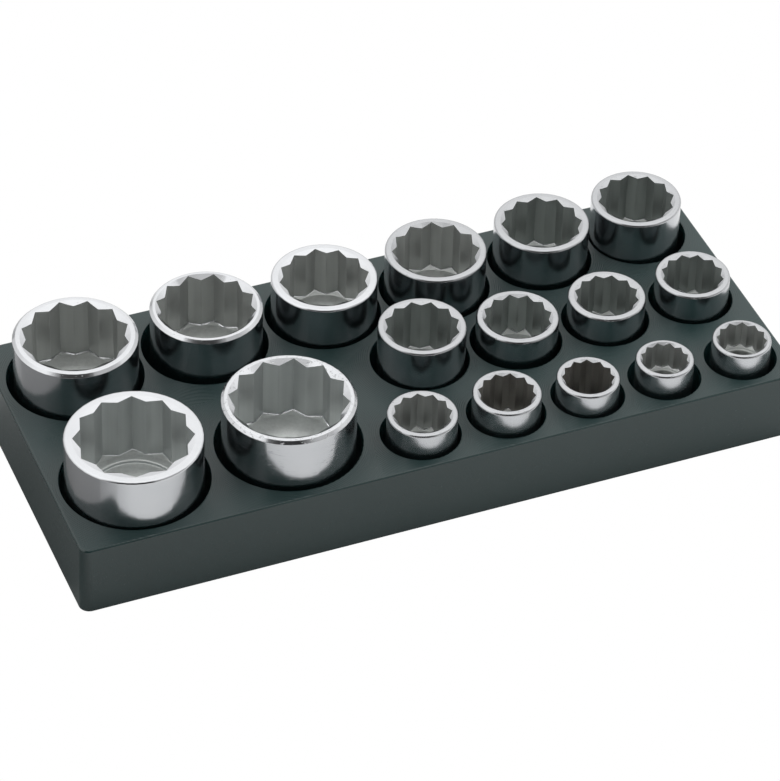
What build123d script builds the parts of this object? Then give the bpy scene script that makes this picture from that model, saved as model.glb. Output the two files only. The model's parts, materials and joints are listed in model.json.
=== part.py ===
from build123d import *
import math
import os

# Socket tray with seventeen twelve-point sockets for a 3/4 inch square drive.
# Frame: origin at the middle of the tray's underside, +X along the long side,
# +Y from the front row to the back row, +Z up. Millimetres.

# ---- tray -------------------------------------------------------------------
TRAY_L = 378.0          # top face, left to right
TRAY_W = 159.7          # top face, front to back
TRAY_H = 37.8           # overall height
DRAFT = 1.1             # how much further the foot stands out than the top, per side
CORNER_R = 4.8          # vertical corners
EDGE_R = 1.2            # top edge
MOUTH_R = 0.7           # pocket mouths
FLOOR_Z = 2.0           # pocket floors

# ---- sockets ----------------------------------------------------------------
DRIVE_AF = 19.25        # square drive recess for a 19.05 mm square
DRIVE_BORE_R = 9.2      # round bore between the wrench end and the square
LAND_EDGE = 0.3         # lead-in mouth outside the points' circle
RIM_R = 1.3             # rounded outer lip of the wrench end
FOOT_C = 1.0            # chamfer of the drive end
DIMPLE_R = 2.6          # tapered detent dimples in the square
DIMPLE_DEEP = 0.9
DIMPLE_Z = 9.0
GAP = 0.0               # gap between a socket's foot and its pocket's floor
SHELF_IN = 0.5          # the sloping shelf starts this far inside the inner corners
RELIEF = {"socket_front_1": (21.4, 1.6)}    # round recess below the broach: radius, depth

# name, size across flats, pocket x, pocket y, pocket radius, socket x, socket y,
# outer radius of the wrench end, height above the tray's top, depth of the
# twelve-point broach, slope of the lead-in below level (deg), turn of the
# points (deg), radius of the drive end, slope of the shelf at the bottom of the
# broach (deg)
SOCKETS = [
    ("socket_back_1", 46.8, -150.8, 43.9, 34.1, -150.6, 42.5, 31.04, 27.1, 32.70, 27.7, 28.6, 24.50, 4.0),
    ("socket_back_2", 43.4, -82.2, 45.4, 31.8, -81.5, 44.7, 28.23, 24.6, 31.20, 37.3, 1.5, 23.00, 11.0),
    ("socket_back_3", 39.7, -17.9, 48.0, 29.4, -17.7, 47.0, 26.91, 23.2, 28.20, 25.5, 20.5, 22.00, 27.0),
    ("socket_back_4", 38.7, 42.8, 47.5, 28.2, 42.8, 46.9, 25.86, 24.3, 29.40, 33.0, 13.4, 21.50, 27.0),
    ("socket_back_5", 36.1, 102.5, 50.2, 26.7, 102.7, 50.1, 24.49, 23.2, 30.10, 27.2, 14.1, 21.00, 27.0),
    ("socket_back_6", 34.4, 157.8, 51.3, 25.3, 156.3, 51.2, 23.24, 23.4, 29.00, 25.4, 17.8, 20.50, 20.0),
    ("socket_middle_1", 33.0, 14.5, -2.6, 24.8, 14.5, -4.3, 22.14, 22.2, 29.30, 26.3, 24.4, 20.00, 20.0),
    ("socket_middle_2", 30.2, 65.3, -6.1, 23.1, 65.8, -5.7, 20.82, 14.7, 24.10, 32.6, 20.6, 20.00, 45.0),
    ("socket_middle_3", 28.3, 114.4, -6.3, 22.1, 114.1, -7.0, 19.72, 15.6, 24.70, 27.4, 26.6, 19.72, 40.0),
    ("socket_middle_4", 27.6, 162.1, -6.1, 21.3, 161.9, -6.9, 19.05, 15.9, 24.40, 30.2, 25.7, 19.05, 38.0),
    ("socket_front_1", 50.8, -148.0, -38.0, 36.7, -148.8, -39.9, 33.79, 28.6, 34.50, 9.8, 12.9, 26.00, 8.0),
    ("socket_front_2", 51.2, -69.1, -38.4, 36.3, -69.5, -39.8, 33.06, 29.1, 33.60, 34.1, 4.9, 25.00, 8.0),
    ("socket_front_3", 25.6, -6.4, -55.2, 19.9, -6.0, -55.7, 17.58, 13.0, 22.70, 26.8, 17.5, 17.58, 44.0),
    ("socket_front_4", 24.9, 38.9, -55.5, 19.6, 38.7, -56.0, 17.22, 13.4, 24.00, 31.2, 0.9, 17.22, 38.0),
    ("socket_front_5", 22.7, 82.2, -57.1, 18.3, 81.4, -58.1, 15.80, 12.4, 25.40, 31.0, 9.7, 16.60, 38.0),
    ("socket_front_6", 21.0, 123.7, -57.7, 18.2, 122.8, -58.6, 14.64, 12.5, 15.35, 37.8, 23.8, 16.60, 26.0),
    ("socket_front_7", 22.0, 165.9, -57.1, 18.1, 165.3, -58.1, 14.88, 12.6, 15.15, 34.9, 3.5, 16.60, 39.0),
]

os.makedirs("parts", exist_ok=True)


def block(length, width, corner, z0, z1, grow):
    """Drafted rectangular block, `grow` wider per side at z0 than at z1."""
    low = Plane.XY.offset(z0) * RectangleRounded(length + 2 * grow, width + 2 * grow, corner + grow * 0.5)
    high = Plane.XY.offset(z1) * RectangleRounded(length, width, corner)
    return loft([low, high])


def make_tray():
    """One thick slab with seventeen blind round pockets."""
    body = block(TRAY_L, TRAY_W, CORNER_R, 0, TRAY_H, DRAFT)
    body = fillet(body.faces().sort_by(Axis.Z)[-1].edges(), EDGE_R)
    pockets = [Pos(s[2], s[3], FLOOR_Z + TRAY_H / 2) * Cylinder(s[4], TRAY_H) for s in SOCKETS]
    body = body - pockets
    # round the pocket mouths
    mouths = [e for e in body.edges().filter_by(GeomType.CIRCLE)
              if abs(e.center().Z - TRAY_H) < 0.01 and abs(e.length - 2 * math.pi * e.radius) < 0.5]
    print("pocket mouths", len(mouths))
    body = fillet(mouths, MOUTH_R)
    return body


def star(af, turn):
    """Twelve-point outline: two equal hexagons, one turned by 30 degrees."""
    tip = af / math.sqrt(3.0)
    inner = af / 2 / math.cos(math.radians(15))
    pts = []
    for i in range(24):
        a = math.radians(turn + 15 * i)
        r = tip if i % 2 == 0 else inner
        pts.append((r * math.cos(a), r * math.sin(a)))
    return Polygon(*pts, align=None)


def make_socket(s):
    name, af, px, py, pr, x, y, r, h, deep, slope, turn, foot_r, shelf = s
    mouth = af / math.sqrt(3.0) + LAND_EDGE
    length = TRAY_H - FLOOR_Z - GAP + h
    inner = af / 2 / math.cos(math.radians(15))
    lead_in = mouth - inner + 0.4
    lead = lead_in * math.tan(math.radians(slope))
    square_deep = min(22.0, length - deep - 4.0)
    foot_mouth = DRIVE_AF / 2 * 1.16
    # outer side, from the drive end up
    if foot_r < r - 0.5:            # large sockets neck down to the drive end
        z_sh = length - deep - 1.5
        side = [(foot_r - FOOT_C, 0), (foot_r, FOOT_C), (foot_r, z_sh - (r - foot_r)), (r, z_sh)]
    elif foot_r > r + 0.5:          # the smallest ones widen to the drive end
        z_sh = 24.0
        side = [(foot_r - FOOT_C, 0), (foot_r, FOOT_C), (foot_r, z_sh - (foot_r - r)), (r, z_sh)]
    else:
        side = [(r - FOOT_C, 0), (r, FOOT_C)]
    c = RIM_R
    # turned shape: lip, flat land, conical lead-in, through bore, countersunk foot
    with BuildPart() as turned:
        with BuildSketch(Plane.XZ):
            with BuildLine():
                Polyline((foot_mouth, 0), *side, (r, length - c))
                RadiusArc((r, length - c), (r - c, length), -c)
                Polyline((r - c, length), (mouth, length), (mouth - lead_in, length - lead),
                         (DRIVE_BORE_R, length - lead), (DRIVE_BORE_R, foot_mouth - DRIVE_BORE_R),
                         (foot_mouth, 0))
            make_face()
        revolve(axis=Axis.Z)
    # twelve-point broach from above, its points ending on a shelf that slopes down to the floor
    low = inner - SHELF_IN
    wide = af / math.sqrt(3.0) + 1.0
    with BuildPart() as reach:
        with BuildSketch(Plane.XZ):
            with BuildLine():
                Polyline((0, length - deep), (low, length - deep),
                         (wide, length - deep + (wide - low) * math.tan(math.radians(shelf))),
                         (wide, length + 1), (0, length + 1), (0, length - deep))
            make_face()
        revolve(axis=Axis.Z)
    broach = Pos(0, 0, length - deep) * extrude(star(af, turn), deep + 1) & reach.part
    part = turned.part - broach
    # square drive from below, detent dimples
    if name in RELIEF:
        rr, rd = RELIEF[name]
        part = part - Pos(0, 0, length - deep - rd / 2 + 0.5) * Cylinder(rr, rd + 1)
    part = part - Pos(0, 0, square_deep / 2 - 0.5) * Box(DRIVE_AF, DRIVE_AF, square_deep + 1)
    for q in (0, 90, 180, 270):
        part = part - Rot(0, 0, q) * Pos(DRIVE_AF / 2 + DIMPLE_DEEP / 2 - 0.25, 0, DIMPLE_Z) * (
            Rot(0, 90, 0) * Cone(DIMPLE_R, DIMPLE_R - 1.2, DIMPLE_DEEP + 0.5))
    if not part.is_valid:
        print("NOT VALID", name)
    part = Pos(x, y, FLOOR_Z + GAP) * part
    print(name, "length %.1f af %.2f square %.1f lead %.1f" % (length, af, square_deep, lead),
          "solids", len(part.solids()), "pocket gap %.2f" % (pr - math.hypot(x - px, y - py) - max(r, foot_r)))
    return part


tray = make_tray()
export_step(tray, "parts/tray.step")
print("tray", len(tray.solids()), round(tray.volume))
for s in SOCKETS:
    export_step(make_socket(s), "parts/%s.step" % s[0])
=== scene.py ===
import json
import math

import bpy
import numpy as np
from mathutils import Matrix, Vector


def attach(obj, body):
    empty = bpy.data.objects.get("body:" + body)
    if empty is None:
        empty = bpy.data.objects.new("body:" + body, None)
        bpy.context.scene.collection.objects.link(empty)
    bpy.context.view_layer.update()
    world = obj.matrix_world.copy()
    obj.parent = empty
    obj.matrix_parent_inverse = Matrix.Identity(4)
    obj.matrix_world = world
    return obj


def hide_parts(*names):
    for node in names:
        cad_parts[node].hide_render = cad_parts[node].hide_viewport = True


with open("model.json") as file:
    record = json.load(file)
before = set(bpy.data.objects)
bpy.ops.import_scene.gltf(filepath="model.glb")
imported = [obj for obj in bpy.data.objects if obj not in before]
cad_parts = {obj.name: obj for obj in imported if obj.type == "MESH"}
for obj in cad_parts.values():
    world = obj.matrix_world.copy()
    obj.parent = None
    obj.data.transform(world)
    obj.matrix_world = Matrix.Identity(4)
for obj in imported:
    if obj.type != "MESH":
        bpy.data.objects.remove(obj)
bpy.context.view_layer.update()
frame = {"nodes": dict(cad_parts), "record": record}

RECORD = frame["record"]

# ------------------------------------------------------------------ sizes, mm
TRAY_H = 37.8
FLOOR_Z = 2.0
DRIVE_AF = 19.25
DRIVE_BORE_R = 9.2
LAND_EDGE = 0.3
RIM_R = 1.3
BEVELLED = ("socket_back_1", "socket_back_2", "socket_front_2")    # a flat bevel in place of the round lip
SHELF_IN = 0.5
RELIEF = {"socket_front_1": (21.4, 1.6)}
FOOT_C = 1.0
SQUARE_DEEP = 22.0
DIMPLE_R = 2.6
DIMPLE_DEEP = 0.9
DIMPLE_Z = 9.0
FOOT_MOUTH = DRIVE_AF / 2 * 1.16

# name, across flats, pocket x, pocket y, pocket radius, socket x, socket y,
# outer radius of the wrench end, height above the tray's top, depth of the
# broach, slope of the lead-in (deg), turn of the points (deg), foot radius, slope
# of the shelf at the bottom of the broach (deg)
SOCKETS = [
    ("socket_back_1", 46.8, -150.8, 43.9, 34.1, -150.6, 42.5, 31.04, 27.1, 32.70, 27.7, 28.6, 24.50, 4.0),
    ("socket_back_2", 43.4, -82.2, 45.4, 31.8, -81.5, 44.7, 28.23, 24.6, 31.20, 37.3, 1.5, 23.00, 11.0),
    ("socket_back_3", 39.7, -17.9, 48.0, 29.4, -17.7, 47.0, 26.91, 23.2, 28.20, 25.5, 20.5, 22.00, 27.0),
    ("socket_back_4", 38.7, 42.8, 47.5, 28.2, 42.8, 46.9, 25.86, 24.3, 29.40, 33.0, 13.4, 21.50, 27.0),
    ("socket_back_5", 36.1, 102.5, 50.2, 26.7, 102.7, 50.1, 24.49, 23.2, 30.10, 27.2, 14.1, 21.00, 27.0),
    ("socket_back_6", 34.4, 157.8, 51.3, 25.3, 156.3, 51.2, 23.24, 23.4, 29.00, 25.4, 17.8, 20.50, 20.0),
    ("socket_middle_1", 33.0, 14.5, -2.6, 24.8, 14.5, -4.3, 22.14, 22.2, 29.30, 26.3, 24.4, 20.00, 20.0),
    ("socket_middle_2", 30.2, 65.3, -6.1, 23.1, 65.8, -5.7, 20.82, 14.7, 24.10, 32.6, 20.6, 20.00, 45.0),
    ("socket_middle_3", 28.3, 114.4, -6.3, 22.1, 114.1, -7.0, 19.72, 15.6, 24.70, 27.4, 26.6, 19.72, 40.0),
    ("socket_middle_4", 27.6, 162.1, -6.1, 21.3, 161.9, -6.9, 19.05, 15.9, 24.40, 30.2, 25.7, 19.05, 38.0),
    ("socket_front_1", 50.8, -148.0, -38.0, 36.7, -148.8, -39.9, 33.79, 28.6, 34.50, 9.8, 12.9, 26.00, 8.0),
    ("socket_front_2", 51.2, -69.1, -38.4, 36.3, -69.5, -39.8, 33.06, 29.1, 33.60, 34.1, 4.9, 25.00, 8.0),
    ("socket_front_3", 25.6, -6.4, -55.2, 19.9, -6.0, -55.7, 17.58, 13.0, 22.70, 26.8, 17.5, 17.58, 44.0),
    ("socket_front_4", 24.9, 38.9, -55.5, 19.6, 38.7, -56.0, 17.22, 13.4, 24.00, 31.2, 0.9, 17.22, 38.0),
    ("socket_front_5", 22.7, 82.2, -57.1, 18.3, 81.4, -58.1, 15.80, 12.4, 25.40, 31.0, 9.7, 16.60, 38.0),
    ("socket_front_6", 21.0, 123.7, -57.7, 18.2, 122.8, -58.6, 14.64, 12.5, 15.35, 37.8, 23.8, 16.60, 26.0),
    ("socket_front_7", 22.0, 165.9, -57.1, 18.1, 165.3, -58.1, 14.88, 12.6, 15.15, 34.9, 3.5, 16.60, 39.0),
]


# --------------------------------------------------------------- node helpers
class Tree:
    """Small helper for building a node tree."""

    def __init__(self, tree):
        self.t = tree
        tree.nodes.clear()

    def add(self, kind, **settings):
        n = self.t.nodes.new(kind)
        inputs = settings.pop("inputs", {})
        for k, v in settings.items():
            setattr(n, k, v)
        for k, v in inputs.items():
            if isinstance(v, bpy.types.NodeSocket):
                self.t.links.new(v, n.inputs[k])
            else:
                n.inputs[k].default_value = v
        return n

    def link(self, a, b):
        self.t.links.new(a, b)

    def math(self, op, a, b=0.0, c=0.0, clamp=False):
        n = self.add("ShaderNodeMath", operation=op, use_clamp=clamp)
        for i, v in enumerate((a, b, c)):
            if isinstance(v, bpy.types.NodeSocket):
                self.link(v, n.inputs[i])
            else:
                n.inputs[i].default_value = v
        return n.outputs[0]

    def ramp(self, fac, stops, mode="LINEAR"):
        n = self.add("ShaderNodeValToRGB")
        n.color_ramp.interpolation = mode
        els = n.color_ramp.elements
        while len(els) < len(stops):
            els.new(0.5)
        for e, (p, c) in zip(els, stops):
            e.position = p
            e.color = (c, c, c, 1) if isinstance(c, (int, float)) else (*c, 1)
        self.link(fac, n.inputs[0])
        return n.outputs[0]

    def noise(self, vec, scale, detail=4.0, rough=0.5, distort=0.0):
        return self.add("ShaderNodeTexNoise", inputs={
            "Vector": vec, "Scale": scale, "Detail": detail, "Roughness": rough, "Distortion": distort})

    def mix(self, fac, a, b):
        n = self.add("ShaderNodeMix", data_type="RGBA")
        for sock, v in ((n.inputs[0], fac), (n.inputs[6], a), (n.inputs[7], b)):
            if isinstance(v, bpy.types.NodeSocket):
                self.link(v, sock)
            elif isinstance(v, (int, float)):
                sock.default_value = v
            else:
                sock.default_value = (*v, 1)
        return n.outputs[2]

    def bump(self, height, strength, distance, normal=None):
        n = self.add("ShaderNodeBump", inputs={"Height": height, "Strength": strength, "Distance": distance})
        if normal is not None:
            self.link(normal, n.inputs["Normal"])
        return n.outputs[0]


def material(name):
    m = bpy.data.materials.new(name)
    m.use_nodes = True
    t = Tree(m.node_tree)
    out = t.add("ShaderNodeOutputMaterial")
    p = t.add("ShaderNodeBsdfPrincipled")
    t.link(p.outputs[0], out.inputs[0])
    return m, t, p


# ------------------------------------------------------------------ materials
def make_chrome(name="chrome_plate", worn=0.35, level=0.70, tone=1.0, lo=0.09):
    """Polished chrome plate: the lip, the flat land and the lead-in, with small nicks."""
    m, t, p = material(name)
    pos = t.add("ShaderNodeTexCoord").outputs["Object"]
    p.inputs["Metallic"].default_value = 1.0
    # faint clouding of the plate and of its polish
    n = t.noise(pos, 60.0, 3.0, 0.55)
    col = t.ramp(n.outputs[0], [(0.3, (0.575 * tone, 0.585 * tone, 0.60 * tone)), (0.7, (0.61 * tone, 0.62 * tone, 0.635 * tone))])
    t.link(col, p.inputs["Base Color"])
    n2 = t.noise(pos, 220.0, 4.0, 0.6)
    rough = t.add("ShaderNodeMapRange", inputs={"Value": n2.outputs[0], "From Min": 0.3, "From Max": 0.7,
                                                "To Min": lo, "To Max": lo + 0.06}).outputs[0]
    t.link(rough, p.inputs["Roughness"])
    # slow waviness of a buffed face and a fine grain
    wav = t.noise(pos, 90.0, 2.0, 0.5)
    b1 = t.bump(wav.outputs[0], 0.3, 0.0004)
    grain = t.noise(pos, 1500.0, 3.0, 0.6)
    b2 = t.bump(grain.outputs[0], 0.15, 0.0001, b1)
    nick = t.ramp(t.noise(pos, 620.0, 2.0, 0.55).outputs[0], [(level, 0.0), (level + 0.05, 1.0)])
    t.link(t.bump(nick, worn, -0.00025, b2), p.inputs["Normal"])
    return m


def make_barrel(name="chrome_barrel", lo=0.16, hi=0.22, scratch=0.0, rings=0.16):
    """The turned outside: plated over fine rings that run round it, so its reflections are softer."""
    m, t, p = material(name)
    pos = t.add("ShaderNodeTexCoord").outputs["Object"]
    p.inputs["Metallic"].default_value = 1.0
    n = t.noise(pos, 45.0, 3.0, 0.55)
    col = t.ramp(n.outputs[0], [(0.3, (0.565, 0.58, 0.60)), (0.7, (0.60, 0.612, 0.63))])
    t.link(col, p.inputs["Base Color"])
    ring = t.add("ShaderNodeMapping", inputs={"Vector": pos, "Scale": (0.06, 0.06, 1.0)}).outputs[0]
    line = t.noise(ring, 2600.0, 4.0, 0.6)
    band = t.noise(ring, 420.0, 3.0, 0.55)
    rough = t.add("ShaderNodeMapRange", inputs={"Value": band.outputs[0], "From Min": 0.3, "From Max": 0.7,
                                                "To Min": lo, "To Max": hi}).outputs[0]
    t.link(rough, p.inputs["Roughness"])
    wav = t.noise(pos, 70.0, 2.0, 0.5)
    b1 = t.bump(wav.outputs[0], 0.22, 0.0004)
    b2 = t.bump(line.outputs[0], rings, 0.00006, b1)
    if scratch:
        # short handling scratches that run round the barrel
        long = t.add("ShaderNodeMapping", inputs={"Vector": pos, "Scale": (0.22, 0.22, 1.0)}).outputs[0]
        cut = t.ramp(t.noise(long, 900.0, 5.0, 0.7).outputs[0], [(0.60, 0.0), (0.66, 1.0)])
        b2 = t.bump(cut, scratch, -0.0001, b2)
    t.link(b2, p.inputs["Normal"])
    return m


def make_satin(name="satin_broach", dark=(0.50, 0.522, 0.52), light=(0.61, 0.635, 0.63)):
    """Plated but unpolished broached walls: grey, with fine lines along the cut."""
    m, t, p = material(name)
    pos = t.add("ShaderNodeTexCoord").outputs["Object"]
    p.inputs["Metallic"].default_value = 0.8
    p.inputs["Specular IOR Level"].default_value = 0.3
    st = t.add("ShaderNodeMapping", inputs={"Vector": pos, "Scale": (1.0, 1.0, 0.03)}).outputs[0]
    streak = t.noise(st, 900.0, 4.0, 0.6)
    wide = t.noise(st, 200.0, 2.0, 0.5)
    col = t.ramp(wide.outputs[0], [(0.25, dark), (0.75, light)])
    t.link(col, p.inputs["Base Color"])
    rough = t.add("ShaderNodeMapRange", inputs={"Value": streak.outputs[0], "From Min": 0.3, "From Max": 0.7,
                                                "To Min": 0.30, "To Max": 0.42}).outputs[0]
    t.link(rough, p.inputs["Roughness"])
    b1 = t.bump(streak.outputs[0], 0.3, 0.0001)
    t.link(b1, p.inputs["Normal"])
    return m


def make_rough():
    """Bottom of the broached hole: chips broken off, coarse and matt."""
    m, t, p = material("rough_floor")
    pos = t.add("ShaderNodeTexCoord").outputs["Object"]
    p.inputs["Metallic"].default_value = 0.8
    n = t.noise(pos, 500.0, 6.0, 0.65)
    col = t.ramp(n.outputs[0], [(0.3, (0.58, 0.60, 0.585)), (0.7, (0.71, 0.73, 0.715))])
    t.link(col, p.inputs["Base Color"])
    rough = t.add("ShaderNodeMapRange", inputs={"Value": n.outputs[0], "From Min": 0.3, "From Max": 0.7,
                                                "To Min": 0.42, "To Max": 0.60}).outputs[0]
    t.link(rough, p.inputs["Roughness"])
    t.link(t.bump(n.outputs[0], 0.5, 0.0003), p.inputs["Normal"])
    return m


def make_plastic():
    """Dark grey-green matt plastic of the tray, with a fine grain and faint rings left by the tool
    that opened the pockets."""
    m, t, p = material("tray_plastic")
    pos = t.add("ShaderNodeTexCoord").outputs["Object"]
    big = t.noise(pos, 9.0, 3.0, 0.55)
    col = t.ramp(big.outputs[0], [(0.3, (0.0062, 0.0225, 0.0222)), (0.7, (0.0088, 0.027, 0.0265))])
    # tiny pale specks of dust and rub marks
    sp = t.noise(pos, 900.0, 1.0, 0.5)
    speck = t.ramp(sp.outputs[0], [(0.76, 0.0), (0.80, 1.0)])
    col2 = t.mix(t.math("MULTIPLY", speck, 0.25), col, (0.16, 0.17, 0.17))
    t.link(col2, p.inputs["Base Color"])
    fine = t.noise(pos, 1400.0, 4.0, 0.6)
    sep = t.add("ShaderNodeSeparateXYZ", inputs={"Vector": pos})
    on_top = t.ramp(t.math("MULTIPLY", sep.outputs[2], 10.0), [(0.3755, 0.0), (0.3772, 1.0)])
    rough = t.add("ShaderNodeMapRange", inputs={"Value": fine.outputs[0], "From Min": 0.3, "From Max": 0.7,
                                                "To Min": -0.05, "To Max": 0.05}).outputs[0]
    rough = t.math("MULTIPLY", rough, t.math("ADD", t.math("MULTIPLY", on_top, 0.85), 0.15))
    rough = t.math("ADD", rough, t.add("ShaderNodeMapRange", inputs={"Value": on_top, "To Min": 0.28, "To Max": 0.47}).outputs[0])
    on_edge = t.ramp(t.math("MULTIPLY", sep.outputs[2], 10.0), [(0.3655, 0.0), (0.3672, 1.0), (0.3755, 1.0), (0.3772, 0.0)])
    rough = t.math("SUBTRACT", rough, t.math("MULTIPLY", on_edge, 0.10))
    t.link(rough, p.inputs["Roughness"])
    p.inputs["IOR"].default_value = 1.5
    p.inputs["Specular IOR Level"].default_value = 0.58
    # distance to the nearest pocket mouth
    flat = t.add("ShaderNodeCombineXYZ", inputs={"X": sep.outputs[0], "Y": sep.outputs[1]}).outputs[0]
    near = None
    for s in SOCKETS:
        dist = t.add("ShaderNodeVectorMath", operation="DISTANCE", inputs={0: flat, 1: (s[2] * 0.001, s[3] * 0.001, 0.0)}).outputs["Value"]
        gap = t.math("SUBTRACT", dist, s[4] * 0.001)
        near = gap if near is None else t.math("MINIMUM", near, gap)
    wave = t.math("SINE", t.math("MULTIPLY", near, 2 * math.pi / 0.00105))
    amp = t.math("MULTIPLY", wave, t.ramp(t.noise(pos, 25.0, 2.0, 0.5).outputs[0], [(0.35, 0.25), (0.65, 1.0)]))
    rings = t.math("MULTIPLY", amp, on_top)
    b1 = t.bump(fine.outputs[0], t.math("ADD", t.math("MULTIPLY", on_top, 0.13), 0.03), 0.00015)
    mid = t.noise(pos, 260.0, 2.0, 0.5)
    b2 = t.bump(mid.outputs[0], 0.05, 0.0003, b1)
    t.link(t.bump(rings, 0.9, 0.0001, b2), p.inputs["Normal"])
    return m


CHROME = make_chrome()
CHROME_WORN = make_chrome("chrome_plate_worn", 0.7, 0.62)
CHROME_SOFT = make_chrome("chrome_plate_soft", 0.4, 0.66, 0.76, 0.16)
BARREL = make_barrel()
BARREL_WORN = make_barrel("chrome_barrel_worn", 0.16, 0.22, 0.22)
BARREL_SMALL = make_barrel("chrome_barrel_small", 0.23, 0.27, 0.0, 0.05)
SATIN = make_satin()
SATIN_MID = make_satin("satin_broach_mid", (0.44, 0.452, 0.442), (0.54, 0.553, 0.54))
SATIN_GREEN = make_satin("satin_broach_green", (0.34, 0.365, 0.355), (0.43, 0.458, 0.445))
SATIN_DARK = make_satin("satin_broach_dark", (0.29, 0.28, 0.262), (0.36, 0.35, 0.33))
ROUGH = make_rough()
PLASTIC = make_plastic()


# -------------------------------------------------------------------- meshes
def star_outline(af, turn, r_in, r_tip, n_in=5, n_tip=4):
    """Points of the twelve-point outline, counterclockwise, every corner rounded."""
    tip = af / math.sqrt(3.0)
    inner = af / 2 / math.cos(math.radians(15))
    corner = [Vector((r * math.cos(a), r * math.sin(a)))
              for r, a in ((tip if i % 2 == 0 else inner, math.radians(turn + 15 * i)) for i in range(24))]
    arcs = []
    for i in range(24):
        p, a, b = corner[i], corner[i - 1], corner[(i + 1) % 24]
        u, v = (a - p).normalized(), (b - p).normalized()
        R, n = (r_tip, n_tip) if i % 2 == 0 else (r_in, n_in)
        half = math.acos(max(-1, min(1, u.dot(v)))) / 2
        back = R / math.tan(half)
        mid = (u + v).normalized()
        c = p + mid * (R / math.sin(half))
        s, e = p + u * back - c, p + v * back - c
        a0, a1 = math.atan2(s.y, s.x), math.atan2(e.y, e.x)
        d = (a1 - a0 + math.pi) % (2 * math.pi) - math.pi
        arcs.append([c + R * Vector((math.cos(a0 + d * k / (n - 1)), math.sin(a0 + d * k / (n - 1)))) for k in range(n)])
    pts = []
    for i in range(24):
        pts += arcs[i]
        p, q = arcs[i][-1], arcs[(i + 1) % 24][0]
        d = (q - p).length
        for f in (0.12 / d, 0.5, 1 - 0.12 / d):
            pts.append(p.lerp(q, f))
    out = np.array([(v.x, v.y) for v in pts])
    ang = np.unwrap(np.arctan2(out[:, 1], out[:, 0]))
    assert np.all(np.diff(ang) > 0)
    return ang, np.hypot(out[:, 0], out[:, 1])


class Rings:
    """Closed rings of points joined by quads, or zipped by triangles where their angles differ."""

    def __init__(self):
        self.v, self.f, self.m = [], [], []
        self.count = 0

    def ring(self, ang, r, z):
        r = np.broadcast_to(np.asarray(r, float), ang.shape)
        z = np.broadcast_to(np.asarray(z, float), ang.shape)
        co = np.stack([r * np.cos(ang), r * np.sin(ang), z], 1)
        start = self.count
        self.v.append(co)
        self.count += len(co)
        return np.arange(start, self.count)

    def point(self, p):
        self.v.append(np.array([p], float))
        self.count += 1
        return self.count - 1

    def join(self, a, b, mat, skip=None):
        n = len(a)
        for j in range(n):
            k = (j + 1) % n
            if skip is not None and skip[j]:
                continue
            self.f.append((a[j], a[k], b[k], b[j]))
            self.m.append(mat)

    def zip(self, a, aa, b, ab, mat):
        """Triangles between ring a (angles aa) and ring b (angles ab)."""
        two = 2 * math.pi
        aa, ab = np.mod(aa, two), np.mod(ab, two)
        ia, ib = int(np.argmin(aa)), int(np.argmin(ab))
        na, nb = len(a), len(b)
        i = j = 0
        while i < na or j < nb:
            ta = aa[(ia + i + 1) % na] + (two if i + 1 >= na else 0)
            tb = ab[(ib + j + 1) % nb] + (two if j + 1 >= nb else 0)
            pa, pb = a[(ia + i) % na], b[(ib + j) % nb]
            if j >= nb or (i < na and ta <= tb):
                self.f.append((pa, a[(ia + i + 1) % na], pb))
                i += 1
            else:
                self.f.append((pa, b[(ib + j + 1) % nb], pb))
                j += 1
            self.m.append(mat)

    def mesh(self, name, mats):
        co = np.concatenate(self.v) * 0.001
        me = bpy.data.meshes.new(name)
        me.from_pydata(co.tolist(), [], self.f)
        for m in mats:
            me.materials.append(m)
        me.polygons.foreach_set("material_index", np.array(self.m, np.int32))
        me.polygons.foreach_set("use_smooth", np.ones(len(self.f), bool))
        me.update()
        me.validate()
        return me


def creases(points, e=0.12):
    """A polyline of (r, z) with a support point close to each inner corner, on both sides of it."""
    out = [points[0]]
    for i in range(1, len(points)):
        (r0, z0), (r1, z1) = points[i - 1], points[i]
        d = math.hypot(r1 - r0, z1 - z0)
        f = min(e / d, 0.25)
        out.append((r0 + (r1 - r0) * f, z0 + (z1 - z0) * f))
        out.append((r0 + (r1 - r0) * (1 - f), z0 + (z1 - z0) * (1 - f)))
        out.append((r1, z1))
    return out


def arc(cx, cz, rad, a0, a1, n):
    return [(cx + rad * math.cos(math.radians(a0 + (a1 - a0) * k / n)),
             cz + rad * math.sin(math.radians(a0 + (a1 - a0) * k / n))) for k in range(n + 1)]


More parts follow.
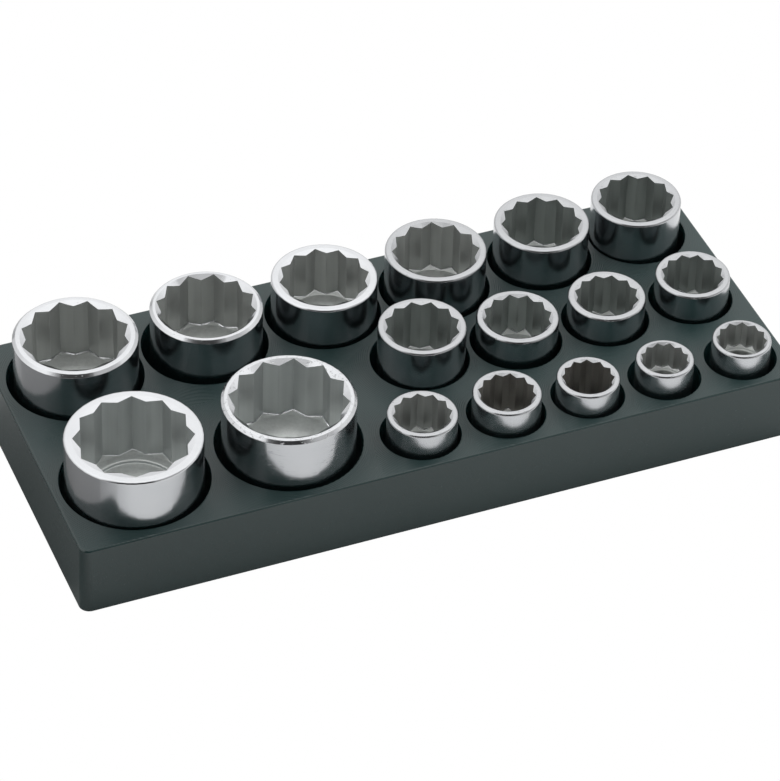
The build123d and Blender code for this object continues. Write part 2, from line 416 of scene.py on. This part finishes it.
def socket_mesh(s):
    name, af, px, py, pr, x, y, r, h, deep, slope, turn, foot_r, shelf = s
    rim = 1.70 if name in BEVELLED else RIM_R
    rng = np.random.default_rng(abs(hash_name(name)))
    L = TRAY_H - FLOOR_Z + h
    sq = min(SQUARE_DEEP, L - deep - 4.0)
    tip = af / math.sqrt(3.0)
    inner = af / 2 / math.cos(math.radians(15))
    mouth = tip + LAND_EDGE
    slope_t = math.tan(math.radians(slope))
    r_in = 0.5 + af * 0.012
    ang, rs = star_outline(af, turn, r_in, 0.25)
    n = len(ang)
    R = Rings()
    CH, SA, RO, WA = 0, 1, 2, 3
    # outside, from the foot up to the lip
    if foot_r < r - 0.5:
        z_sh = L - deep - 1.5
        side = [(foot_r - FOOT_C, 0), (foot_r, FOOT_C), (foot_r, z_sh - (r - foot_r)), (r, z_sh), (r, L - rim)]
    elif foot_r > r + 0.5:
        z_sh = 24.0
        side = [(foot_r - FOOT_C, 0), (foot_r, FOOT_C), (foot_r, z_sh - (foot_r - r)), (r, z_sh), (r, L - rim)]
    else:
        side = [(r - FOOT_C, 0), (r, FOOT_C), (r, L - rim)]
    prof = creases(side)
    if name in BEVELLED:
        prof += arc(r - 0.4, L - rim, 0.4, 0, 38, 5)[1:]
        x0, z0 = prof[-1]
        x1, z1 = r - rim + 0.30, L - 0.16
        prof += [(x0 + (x1 - x0) * 0.06, z0 + (z1 - z0) * 0.06), (x0 + (x1 - x0) * 0.94, z0 + (z1 - z0) * 0.94), (x1, z1),
                 (r - rim + 0.18, L - 0.06), (r - rim, L - 0.01)]
    else:
        prof += arc(r - rim, L - rim, rim, 0, 90, 10)[1:]
    prof += [(r - rim - 0.15, L), (mouth + 0.15, L), (mouth, L)]
    rings = []
    foot_ring = None
    for pr_, pz in prof:
        g = R.ring(ang, pr_, pz)
        if rings:
            R.join(rings[-1], g, WA if pz <= L - rim + 0.001 else CH)
        else:
            foot_ring = g
        rings.append(g)
    # lead-in cone to the points' outline
    for f in (0.06, 0.3, 0.6, 0.85, 0.97, 1.0):
        rr = mouth - (mouth - rs) * f
        zz = L - (mouth - rr) * slope_t
        g = R.ring(ang, rr, zz)
        R.join(rings[-1], g, CH)
        rings.append(g)
    z_star = L - (mouth - rs) * slope_t
    # broached walls
    zf = L - deep
    low = inner - SHELF_IN
    tan_s = math.tan(math.radians(shelf))

    def floor_z(rad):
        return zf + np.maximum(0.0, rad - low) * tan_s

    torn = 2.1 if name in ("socket_back_1", "socket_back_2", "socket_front_2") else 1.0
    chip = np.minimum(np.abs(smooth_noise(rng, n, 1)), 2.2) * torn
    ragged = floor_z(rs) + 0.10 + 0.16 * chip
    for z in (z_star - 0.12, z_star - 0.4, z_star * 0.5 + (zf + 3) * 0.5, np.maximum(ragged + 0.6, zf + 1.4), ragged + 0.12, ragged):
        g = R.ring(ang, rs, z)
        R.join(rings[-1], g, SA)
        rings.append(g)
    # broken rim where the chips were torn off, then the sloping shelf and the flat bottom
    for dr, up in ((0.12 * torn, 0.10), (0.30 * torn, 0.04)):
        g = R.ring(ang, rs - dr, floor_z(rs - dr) + up * chip)
        R.join(rings[-1], g, CH)
        rings.append(g)
    inside = rs - 0.30 * torn
    for f in (0.5, 0.92, 1.0):
        rr = inside + (low - inside) * f
        g = R.ring(ang, rr, floor_z(rr))
        R.join(rings[-1], g, RO)
        rings.append(g)
    if name in RELIEF:
        rr, rd = RELIEF[name]
        steps = [(low - 0.4, zf, RO), (rr + 1.0, zf, RO), (rr + 0.70, zf - 0.03, RO), (rr + 0.12, zf - 0.36, RO), (rr, zf - 0.50, SA),
                 (rr, zf - rd + 0.12, SA), (rr - 0.12, zf - rd, SA), (rr - 1.0, zf - rd, RO)]
        zf = zf - rd
    else:
        steps = [(low - 0.15, zf, RO)]
    steps += [((steps[-1][0] + DRIVE_BORE_R) / 2 + 0.3, zf, RO), (DRIVE_BORE_R + 0.62, zf, RO), (DRIVE_BORE_R + 0.5, zf - 0.06, RO),
              (DRIVE_BORE_R + 0.06, zf - 0.5, RO), (DRIVE_BORE_R, zf - 0.62, RO), (DRIVE_BORE_R, zf - 1.5, RO)]
    for rr, zz, mm in steps:
        g = R.ring(ang, rr, zz)
        R.join(rings[-1], g, mm)
        rings.append(g)
    bore_top = rings[-1]
    # square drive, from the bore down
    half = DRIVE_AF / 2
    cr = 0.8
    cols = []          # (x, y) of the square's outline, counterclockwise from the middle of the right-hand side
    flat = [-4, -3, -2, -1, 0, 1, 2, 3, 4]
    tags = []
    for k in range(4):
        c, s_ = (1, 0, -1, 0)[k], (0, 1, 0, -1)[k]
        loc = [(half, v, v) for v in flat] + [(half, half - cr - 0.15, None)]
        loc += [(half - cr + cr * math.cos(a), half - cr + cr * math.sin(a), None)
                for a in (math.radians(90 * q / 6) for q in range(7))]
        loc += [(half - cr - 0.15, half, None)]
        for u, v, t in loc:
            cols.append((u * c - v * s_, u * s_ + v * c))
            tags.append((k, t))
    cols = np.array(cols)
    qa = np.arctan2(cols[:, 1], cols[:, 0])
    qr = np.hypot(cols[:, 0], cols[:, 1])
    skip = np.array([tags[j][1] is not None and tags[(j + 1) % len(tags)][1] is not None for j in range(len(tags))])
    g = R.ring(qa, DRIVE_BORE_R, zf - 2.0)
    R.zip(bore_top, ang, g, qa, RO)
    last = g
    for rr, zz in ((DRIVE_BORE_R, sq + 0.12), (DRIVE_BORE_R, sq), (DRIVE_BORE_R + 0.12, sq)):
        g = R.ring(qa, rr, zz)
        R.join(last, g, RO)
        last = g
    g = R.ring(qa, qr - 0.12, sq)
    R.join(last, g, RO)
    last = g
    zm = np.maximum(0.0, FOOT_MOUTH - qr)
    rows = [sq, sq - 0.12] + [13, 12, 11, 10, 9, 8, 7, 6, 5]
    wall = {}
    for zz in rows:
        g = R.ring(qa, qr, zz)
        R.join(last, g, SA, skip if zz in (12, 11, 10, 9, 8, 7, 6, 5) else None)
        wall[zz] = g
        last = g
    for zz in (zm + 0.12, zm):
        g = R.ring(qa, qr, zz)
        R.join(last, g, SA)
        last = g
    out_r = np.maximum(FOOT_MOUTH, qr)
    for rr in (np.maximum(qr, FOOT_MOUTH - 0.12), out_r, out_r + 0.15):
        zz = np.where(rr >= FOOT_MOUTH, 0.0, np.maximum(0.0, FOOT_MOUTH - rr))
        g = R.ring(qa, rr, zz)
        R.join(last, g, SA)
        last = g
    R.zip(last, qa, foot_ring, ang, CH)
    # detent dimples in the four walls
    per = len(tags) // 4
    for k in range(4):
        c, s_ = (1, 0, -1, 0)[k], (0, 1, 0, -1)[k]
        edge = []
        idx = {v: k * per + flat.index(v) for v in flat}
        for v in range(-4, 4):
            edge.append((v, 5, wall[5][idx[v]]))
        for z in range(5, 13):
            edge.append((4, z, wall[z][idx[4]]))
        for v in range(4, -4, -1):
            edge.append((v, 13, wall[13][idx[v]]))
        for z in range(13, 5, -1):
            edge.append((-4, z, wall[z][idx[-4]]))
        prev = [e[2] for e in edge]
        dirs = [math.atan2(e[1] - DIMPLE_Z, e[0]) for e in edge]
        for rad, dep in ((DIMPLE_R + 0.15, 0), (DIMPLE_R, 0), (DIMPLE_R - 0.1, 0.08), (DIMPLE_R - 1.1, DIMPLE_DEEP - 0.06),
                         (DIMPLE_R - 1.3, DIMPLE_DEEP)):
            now = []
            for d in dirs:
                u, v, z = half + dep, rad * math.cos(d), DIMPLE_Z + rad * math.sin(d)
                now.append(R.point((u * c - v * s_, u * s_ + v * c, z)))
            m = len(now)
            for j in range(m):
                q = (j + 1) % m
                R.f.append((prev[j], prev[q], now[q], now[j]))
                R.m.append(SA)
            prev = now
        mid = R.point(((half + DIMPLE_DEEP) * c, (half + DIMPLE_DEEP) * s_, DIMPLE_Z))
        for j in range(len(prev)):
            R.f.append((prev[j], prev[(j + 1) % len(prev)], mid))
            R.m.append(SA)
    small = name in ("socket_front_3", "socket_front_4", "socket_front_5", "socket_front_6", "socket_front_7")
    worn = name == "socket_front_2"
    if name in ("socket_front_1", "socket_front_2"):
        wall_mat = SATIN
    elif name in ("socket_front_4", "socket_front_5"):
        wall_mat = SATIN_DARK
    elif name.startswith("socket_middle") or name in ("socket_back_5", "socket_back_6"):
        wall_mat = SATIN_GREEN
    else:
        wall_mat = SATIN_MID
    bright = name in ("socket_back_1", "socket_back_2", "socket_back_3", "socket_front_1")
    me = R.mesh(name + "_mesh", [CHROME_WORN if worn else CHROME if bright else CHROME_SOFT, wall_mat, ROUGH,
                                 BARREL_SMALL if small else BARREL_WORN if worn else BARREL])
    return me


def hash_name(name):
    v = 7
    for ch in name:
        v = (v * 131 + ord(ch)) % 1000003
    return v


def smooth_noise(rng, n, width):
    v = rng.normal(size=n)
    k = np.ones(2 * width + 1) / math.sqrt(2 * width + 1)
    return np.convolve(np.concatenate([v[-width:], v, v[:width]]), k, "valid")


def clean(me):
    """Merges doubled points, drops slivers and turns every face outwards."""
    import bmesh
    bm = bmesh.new()
    bm.from_mesh(me)
    bmesh.ops.remove_doubles(bm, verts=bm.verts, dist=2e-6)
    bmesh.ops.dissolve_degenerate(bm, edges=bm.edges, dist=1e-7)
    bmesh.ops.recalc_face_normals(bm, faces=bm.faces)
    bad = sum(1 for e in bm.edges if len(e.link_faces) != 2)
    if bad:
        print("open or shared edges", me.name, bad)
    bm.to_mesh(me)
    bm.free()


for s in SOCKETS:
    me = socket_mesh(s)
    clean(me)
    ob = bpy.data.objects.new(s[0] + "_shell", me)
    bpy.context.scene.collection.objects.link(ob)
    ob.location = (s[5] * 0.001, s[6] * 0.001, FLOOR_Z * 0.001)
    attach(ob, s[0])
    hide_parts(s[0])

tray = frame["nodes"]["tray"]
tray.data.materials.clear()
tray.data.materials.append(PLASTIC)

# ---------------------------------------------------------------- the studio
def grid(name, size, z, n=2):
    me = bpy.data.meshes.new(name)
    v = [(-size + 2 * size * i / n, -size + 2 * size * j / n, z) for j in range(n + 1) for i in range(n + 1)]
    f = [(j * (n + 1) + i, j * (n + 1) + i + 1, (j + 1) * (n + 1) + i + 1, (j + 1) * (n + 1) + i)
         for j in range(n) for i in range(n)]
    me.from_pydata(v, [], f)
    ob = bpy.data.objects.new(name, me)
    bpy.context.scene.collection.objects.link(ob)
    return ob


floor = grid("floor", 6.0, -0.0002)
fm = bpy.data.materials.new("white_paper")
fm.use_nodes = True
ft = Tree(fm.node_tree)
# painted shade: the paper's colour is white in front and to the right and darker on the left and behind, standing in
# for the tray's shadow; only reflected and bounced rays see it, and the camera sees plain white
gp = ft.add("ShaderNodeNewGeometry").outputs["Position"]
gs = ft.add("ShaderNodeSeparateXYZ", inputs={"Vector": gp})
gv = ft.add("ShaderNodeCombineXYZ", inputs={"X": ft.math("ADD", gs.outputs[0], 0.15), "Y": ft.math("ADD", gs.outputs[1], 0.04)}).outputs[0]
gn = ft.add("ShaderNodeVectorMath", operation="NORMALIZE", inputs={0: gv}).outputs["Vector"]
left = ft.add("ShaderNodeVectorMath", operation="DOT_PRODUCT", inputs={0: gn, 1: (-0.954, 0.301, 0.0)}).outputs["Value"]
# painted shadow on the floor: the paper's colour darkens towards the left and behind
painted_floor_shade = ft.ramp(left, [(0.10, 0.73), (0.45, 0.52), (0.80, 0.26)])
paper = ft.add("ShaderNodeBsdfDiffuse", inputs={"Color": painted_floor_shade})
bright = ft.add("ShaderNodeEmission", inputs={"Color": (1, 1, 1, 1), "Strength": 1.0})
path = ft.add("ShaderNodeLightPath")
both = ft.add("ShaderNodeMixShader", inputs={0: path.outputs["Is Camera Ray"], 1: paper.outputs[0], 2: bright.outputs[0]})
fo = ft.add("ShaderNodeOutputMaterial")
ft.link(both.outputs[0], fo.inputs[0])
floor.data.materials.append(fm)

world = bpy.data.worlds.new("studio")
bpy.context.scene.world = world
world.use_nodes = True
wt = Tree(world.node_tree)
wo = wt.add("ShaderNodeOutputWorld")
bg = wt.add("ShaderNodeBackground")
d = wt.add("ShaderNodeTexCoord").outputs["Generated"]
sep = wt.add("ShaderNodeSeparateXYZ", inputs={"Vector": d})
up = wt.math("MAXIMUM", sep.outputs[2], 0.0)
sky = wt.ramp(up, [(0.0, 0.44), (0.34, 0.52), (0.67, 0.70), (0.91, 0.74), (1.0, 0.76)])
# the dark end of the studio, behind the photographer
flat = wt.add("ShaderNodeCombineXYZ", inputs={"X": sep.outputs[0], "Y": sep.outputs[1]}).outputs[0]
flat = wt.add("ShaderNodeVectorMath", operation="NORMALIZE", inputs={0: flat}).outputs["Vector"]
ahead = wt.add("ShaderNodeVectorMath", operation="DOT_PRODUCT", inputs={0: flat, 1: (-0.391, -0.920, 0.0)}).outputs["Value"]
wide = wt.math("ADD", ahead, wt.math("MULTIPLY", wt.math("MAXIMUM", wt.math("SUBTRACT", up, 0.78), 0.0), 2.0))
dark = wt.math("MULTIPLY", wt.ramp(wide, [(0.62, 0.0), (0.93, 1.0)], "EASE"),
               wt.ramp(up, [(0.78, 1.0), (0.87, 0.46), (0.955, 0.50), (0.985, 0.0)]))
tone = wt.math("MULTIPLY", sky, wt.math("SUBTRACT", 1.0, wt.math("MULTIPLY", dark, 0.94)))
# and its dimmer right-hand end
aside = wt.add("ShaderNodeVectorMath", operation="DOT_PRODUCT", inputs={0: flat, 1: (0.26, -0.966, 0.0)}).outputs["Value"]
dim = wt.math("MULTIPLY", wt.ramp(aside, [(0.42, 0.0), (0.82, 1.0)], "EASE"), wt.ramp(up, [(0.80, 1.0), (0.93, 0.0)], "EASE"))
tone = wt.math("MULTIPLY", tone, wt.math("SUBTRACT", 1.0, wt.math("MULTIPLY", dim, 0.50)))
wp = wt.add("ShaderNodeLightPath").outputs["Is Camera Ray"]
wt.link(wt.mix(wp, tone, (0.5, 0.5, 0.5)), bg.inputs[0])
bg.inputs[1].default_value = 2.0
wt.link(bg.outputs[0], wo.inputs[0])


def area(name, loc, aim, size, power, color=(1, 1, 1)):
    li = bpy.data.lights.new(name, "AREA")
    li.shape = "RECTANGLE"
    li.size, li.size_y = size
    li.energy = power
    li.color = color
    ob = bpy.data.objects.new(name, li)
    bpy.context.scene.collection.objects.link(ob)
    ob.location = loc
    ob.rotation_mode = "QUATERNION"
    ob.rotation_quaternion = (Vector(aim) - Vector(loc)).to_track_quat("-Z", "Y")
    ob.visible_camera = False
    ob.visible_glossy = False
    return ob


key = area("key", (1.5, -0.1, 1.2), (0.0, 0.0, 0.0), (2.2, 1.8), 26.0)

# ---------------------------------------------------------------- the camera
cam = bpy.data.cameras.new("camera")
co = bpy.data.objects.new("camera", cam)
bpy.context.scene.collection.objects.link(co)
rot = Matrix(((0.92737422, 0.22624463, -0.29797721),
              (-0.37331401, 0.61230091, -0.6969392),
              (0.02477297, 0.75756251, 0.65229237)))
m = rot.to_4x4()
m.translation = Vector((-0.604595, -1.423116, 1.350042))
co.matrix_world = m
cam.sensor_fit = "HORIZONTAL"
cam.sensor_width = 36.0
cam.lens = 4064.45 / 780 * 36.0
cam.shift_x = -0.0089
cam.shift_y = -0.00173
cam.clip_start, cam.clip_end = 0.05, 50.0
bpy.context.scene.camera = co

bpy.context.scene.view_settings.view_transform = "Standard"
bpy.context.scene.view_settings.look = "None"
bpy.context.scene.view_settings.exposure = 0.0
